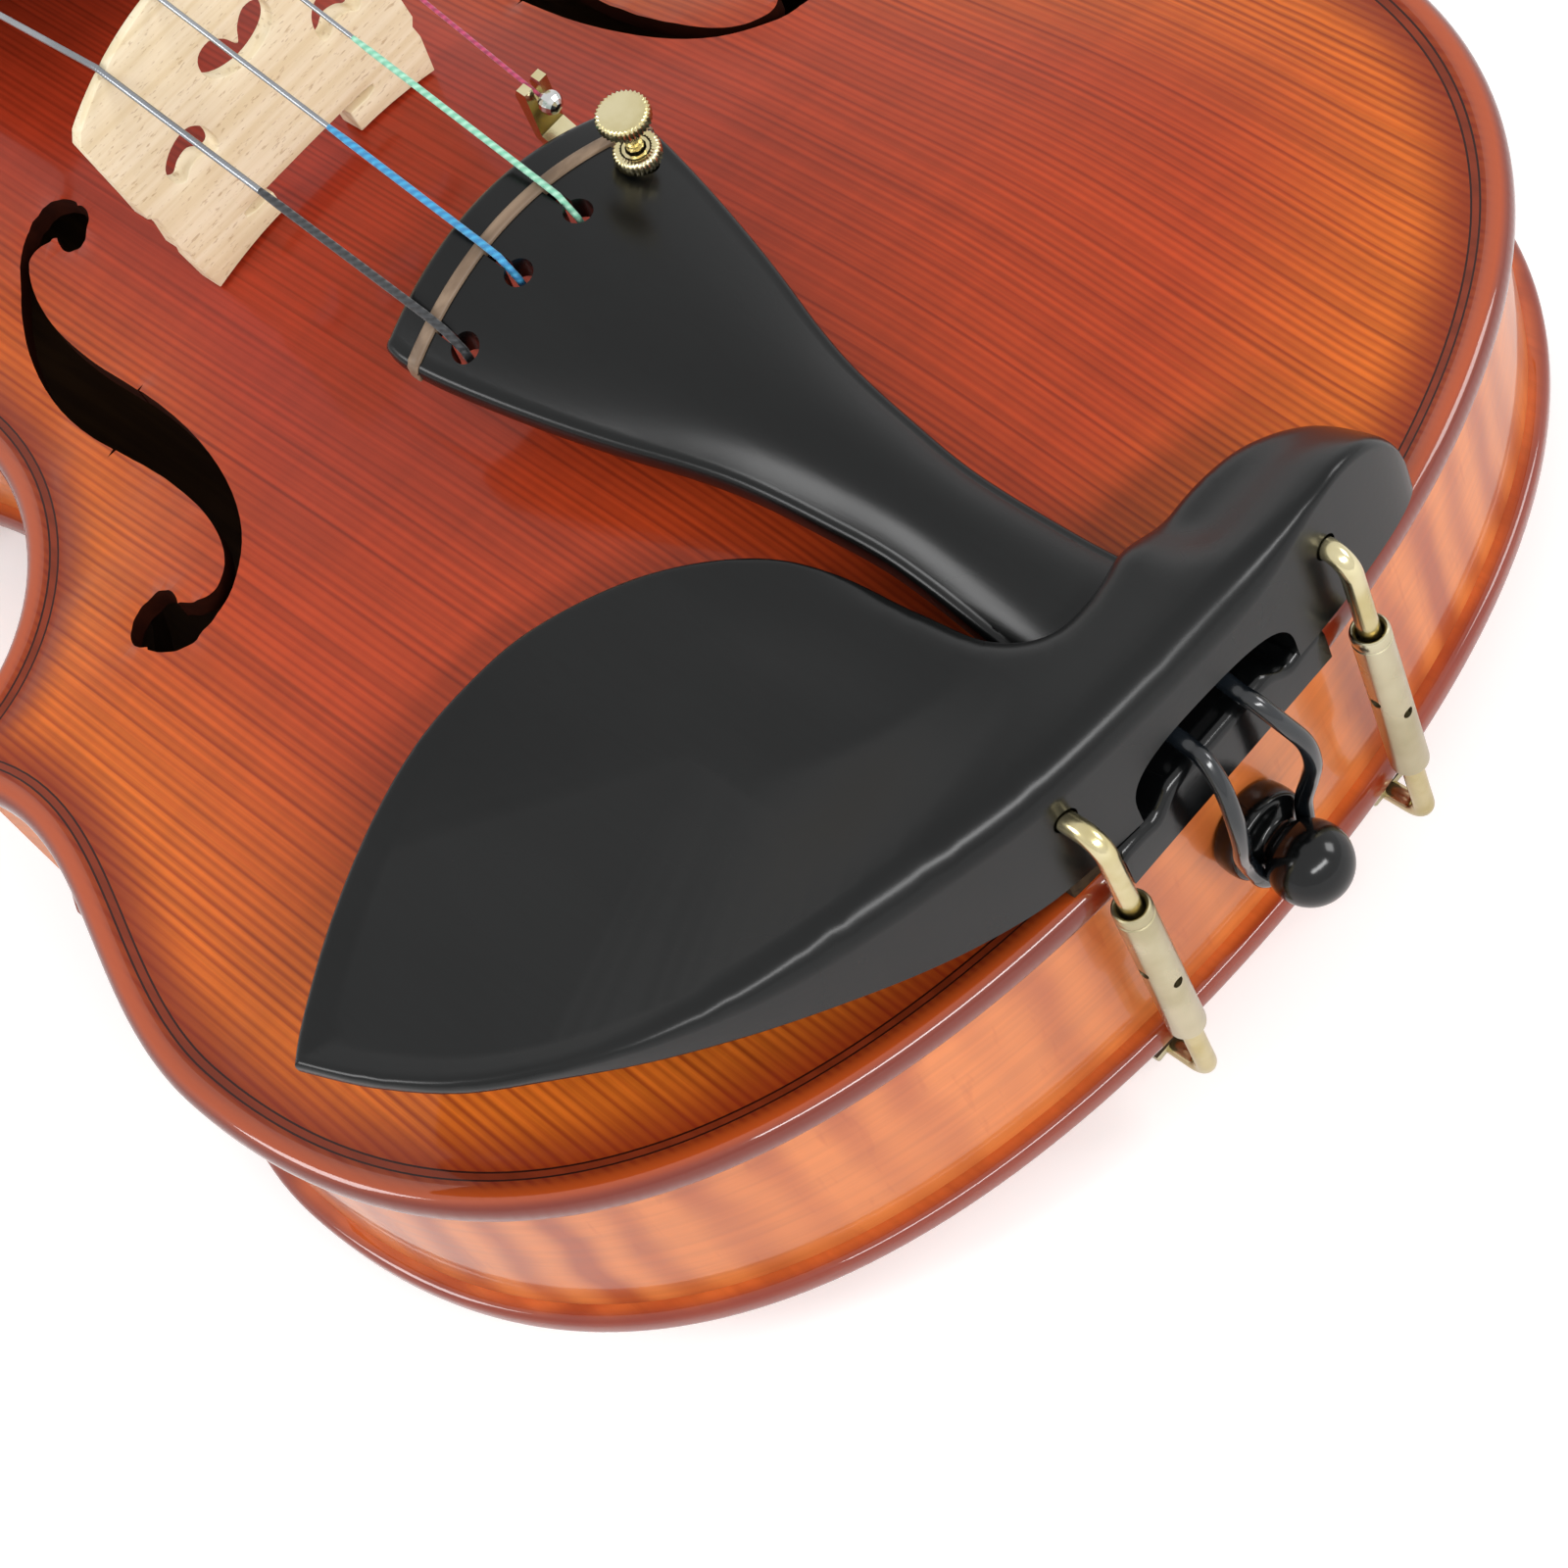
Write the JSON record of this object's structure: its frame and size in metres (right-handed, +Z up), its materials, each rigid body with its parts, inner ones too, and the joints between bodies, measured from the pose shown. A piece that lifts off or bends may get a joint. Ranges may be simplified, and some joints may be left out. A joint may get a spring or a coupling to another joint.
{
  "type": "violin",
  "caption": "Full-size violin with varnished arched plates, flamed ribs, bridge, tailpiece with a fine tuner, side-mounted chinrest, pegs and scroll.",
  "frame": {"origin": "under the middle of the whole length, on the plane that the back arch lies on", "axes": "+X to the treble side, +Y from the end button to the scroll, +Z up from the back to the belly"},
  "size_m": [0.208, 0.6016, 0.1013],
  "materials": {
    "spruce_varnished": "glossy orange-red varnish over fine straight grain",
    "maple_varnished": "glossy varnish over flamed maple",
    "rib_maple": "glossy varnish over flamed maple",
    "raw_wood": "bare planed wood",
    "bridge_maple": "bare fine-grained maple",
    "ebony": "satin black",
    "fret_wood": "satin brown",
    "nylon": "glossy black cord",
    "brass": "polished",
    "nickel": "polished",
    "string_steel": "flat-wound metal",
    "cork": "matt cork"
  },
  "bodies": {
    "violin": {"belly": "spruce_varnished", "back_plate": "maple_varnished", "lower_rib_bass": "rib_maple", "centre_rib_bass": "rib_maple", "upper_rib_bass": "rib_maple", "lower_corner_block_bass": "raw_wood", "upper_corner_block_bass": "raw_wood", "lower_rib_treble": "rib_maple", "centre_rib_treble": "rib_maple", "upper_rib_treble": "rib_maple", "lower_corner_block_treble": "raw_wood", "upper_corner_block_treble": "raw_wood", "lower_block": "raw_wood", "upper_block": "raw_wood", "bass_bar": "raw_wood", "sound_post": "raw_wood", "neck": "maple_varnished", "fingerboard": "ebony", "nut": "ebony", "bridge": "bridge_maple", "saddle": "ebony", "tailpiece": "ebony", "tailpiece_fret": "fret_wood", "tailgut": "nylon", "tailgut_nut_bass": "brass", "tailgut_nut_treble": "brass", "end_button": "ebony", "tuner_ring_nut": "brass", "tuner_frame": "brass", "chinrest": "ebony", "chinrest_cork_bass": "cork", "clamp_rod_bass": "brass", "chinrest_cork_treble": "cork", "clamp_rod_treble": "brass", "g_string": "string_steel", "e_string": "string_steel", "d_string": "string_steel", "a_string": "string_steel"},
    "g_peg": {"g_peg": "ebony", "g_string_winding": "string_steel"},
    "e_peg": {"e_peg": "ebony", "e_string_winding": "string_steel"},
    "d_peg": {"d_peg": "ebony", "d_string_winding": "string_steel"},
    "a_peg": {"a_peg": "ebony", "a_string_winding": "string_steel"},
    "tuner_screw": {"tuner_screw": "brass"},
    "tuner_lever": {"tuner_lever": "brass", "e_string_ball": "nickel"},
    "clamp_barrel_bass": {"clamp_barrel_bass": "brass"},
    "clamp_hook_bass": {"clamp_hook_bass": "brass", "clamp_cork_bass": "cork"},
    "clamp_barrel_treble": {"clamp_barrel_treble": "brass"},
    "clamp_hook_treble": {"clamp_hook_treble": "brass", "clamp_cork_treble": "cork"}
  },
  "joints": [
    {"name": "g_peg_turn", "type": "hinge", "parent": "violin", "child": "g_peg", "pos_m": [0, 0.21086, 0.03007], "axis": [-1, 0, 0], "range_deg": [-1440, 45]},
    {"name": "e_peg_turn", "type": "hinge", "parent": "violin", "child": "e_peg", "pos_m": [0, 0.22418, 0.02686], "axis": [-1, 0, 0], "range_deg": [-1440, 45]},
    {"name": "d_peg_turn", "type": "hinge", "parent": "violin", "child": "d_peg", "pos_m": [0, 0.23749, 0.02364], "axis": [-1, 0, 0], "range_deg": [-1440, 45]},
    {"name": "a_peg_turn", "type": "hinge", "parent": "violin", "child": "a_peg", "pos_m": [0, 0.25081, 0.02043], "axis": [-1, 0, 0], "range_deg": [-1440, 45]},
    {"name": "tuner_screw_turn", "type": "hinge", "parent": "violin", "child": "tuner_screw", "pos_m": [0.016, -0.18928, 0.08224], "axis": [0, 0.1724, -0.985], "range_deg": [0, 2520]},
    {"name": "tuner_lever_tilt", "type": "hinge", "parent": "violin", "child": "tuner_lever", "pos_m": [0.016, -0.17348, 0.0709], "axis": [1, 0, 0], "range_deg": [0, 12]},
    {"name": "clamp_barrel_bass_turn", "type": "hinge", "parent": "violin", "child": "clamp_barrel_bass", "pos_m": [-0.021, -0.29148, 0.0353], "axis": [0, 0, 1], "range_deg": [0, 720]},
    {"name": "clamp_hook_bass_drop", "type": "slide", "parent": "violin", "child": "clamp_hook_bass", "axis": [0, 0, -1], "range_m": [0, 0.0028]},
    {"name": "clamp_barrel_treble_turn", "type": "hinge", "parent": "violin", "child": "clamp_barrel_treble", "pos_m": [0.021, -0.29148, 0.0353], "axis": [0, 0, 1], "range_deg": [0, 720]},
    {"name": "clamp_hook_treble_drop", "type": "slide", "parent": "violin", "child": "clamp_hook_treble", "axis": [0, 0, -1], "range_m": [0, 0.0028]}
  ],
  "couplings": [
    {"joint": "tuner_screw_turn", "follows": "tuner_lever_tilt", "ratio": 210},
    {"joint": "clamp_barrel_bass_turn", "follows": "clamp_hook_bass_drop", "rad_per_m": 4488},
    {"joint": "clamp_barrel_treble_turn", "follows": "clamp_hook_treble_drop", "rad_per_m": 4488}
  ]
}
